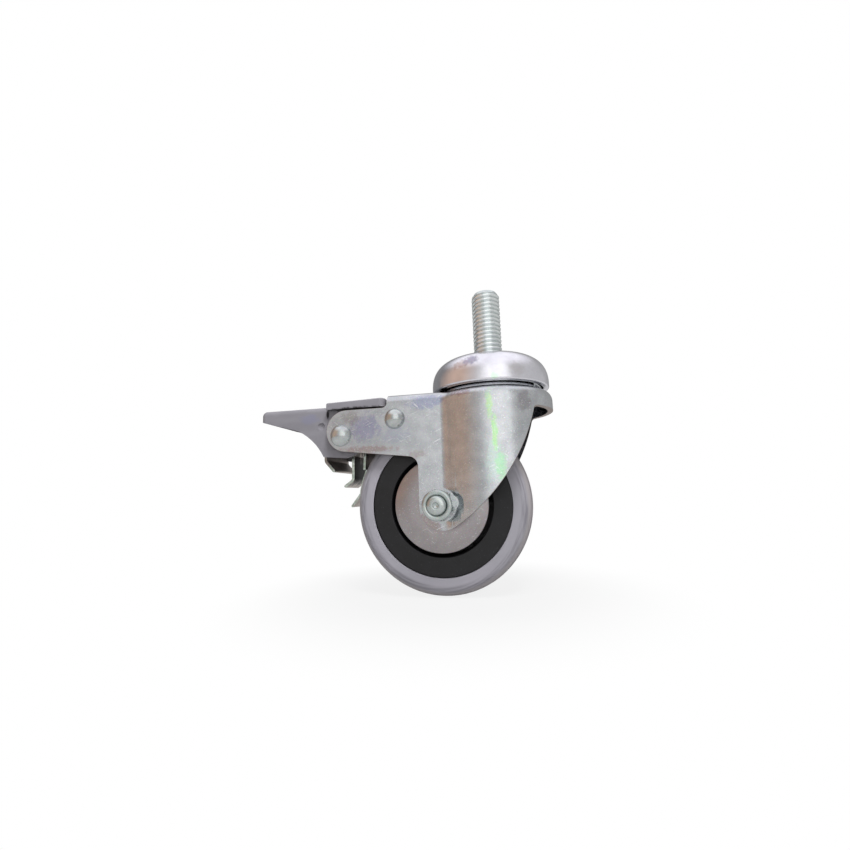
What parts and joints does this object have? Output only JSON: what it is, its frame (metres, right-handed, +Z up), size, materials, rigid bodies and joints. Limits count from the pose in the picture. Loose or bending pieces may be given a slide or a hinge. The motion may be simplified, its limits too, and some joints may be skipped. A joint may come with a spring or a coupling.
{
  "type": "swivel castor",
  "caption": "Swivel castor with a threaded stem, a domed bearing cap, a pressed steel fork, a soft tread wheel on ball bearings and a foot pedal that works a brake shoe.",
  "frame": {"origin": "the middle of the swivel cap's top, at the base of the threaded stem", "axes": "+Z up the stem; +X ahead, so the wheel and the brake trail at -X; the axle lies along Y"},
  "size_m": [0.1029, 0.0433, 0.1046],
  "materials": {
    "stem_steel": "bright zinc",
    "cap_steel": "satin zinc",
    "fork_steel": "satin zinc",
    "bearing_steel": "ground",
    "fastener_steel": "bright zinc",
    "cover_steel": "satin zinc",
    "rivet_steel": "satin zinc",
    "brake_steel": "satin zinc",
    "core_plastic": "satin moulded",
    "tread_rubber": "matt grey rubber",
    "pedal_plastic": "satin moulded"
  },
  "bodies": {
    "head": {"king_pin": "stem_steel", "swivel_cap": "cap_steel", "lower_race": "bearing_steel", "lower_balls": "bearing_steel"},
    "fork": {"fork": "fork_steel", "upper_balls": "bearing_steel", "axle_bolt": "fastener_steel", "axle_nut": "fastener_steel", "axle_sleeve": "fastener_steel", "hub_shims": "fastener_steel", "left_cover": "cover_steel", "right_cover": "cover_steel", "left_inner_ring": "bearing_steel", "right_inner_ring": "bearing_steel", "pivot_rivet": "rivet_steel", "shoe_rivets": "rivet_steel"},
    "wheel": {"wheel_core": "core_plastic", "tyre": "tread_rubber", "left_outer_ring": "bearing_steel", "right_outer_ring": "bearing_steel"},
    "pedal": {"pedal": "pedal_plastic", "brake_plate": "brake_steel"},
    "shoe": {"brake_shoe": "brake_steel"}
  },
  "joints": [
    {"name": "swivel", "type": "hinge", "parent": "head", "child": "fork", "pos_m": [0, 0, 0], "axis": [0, 0, 1], "continuous": true},
    {"name": "wheel_spin", "type": "hinge", "parent": "fork", "child": "wheel", "pos_m": [-0.01695, 0, -0.05035], "axis": [0, 1, 0], "continuous": true},
    {"name": "pedal_press", "type": "hinge", "parent": "fork", "child": "pedal", "pos_m": [-0.0501, 0, -0.0263], "axis": [0, -1, 0], "range_deg": [0, 6]},
    {"name": "shoe_press", "type": "hinge", "parent": "fork", "child": "shoe", "pos_m": [-0.0311, 0, -0.0217], "axis": [0, -1, 0], "range_deg": [0, 1.2]}
  ],
  "couplings": [
    {"joint": "shoe_press", "follows": "pedal_press", "ratio": 0.2}
  ]
}
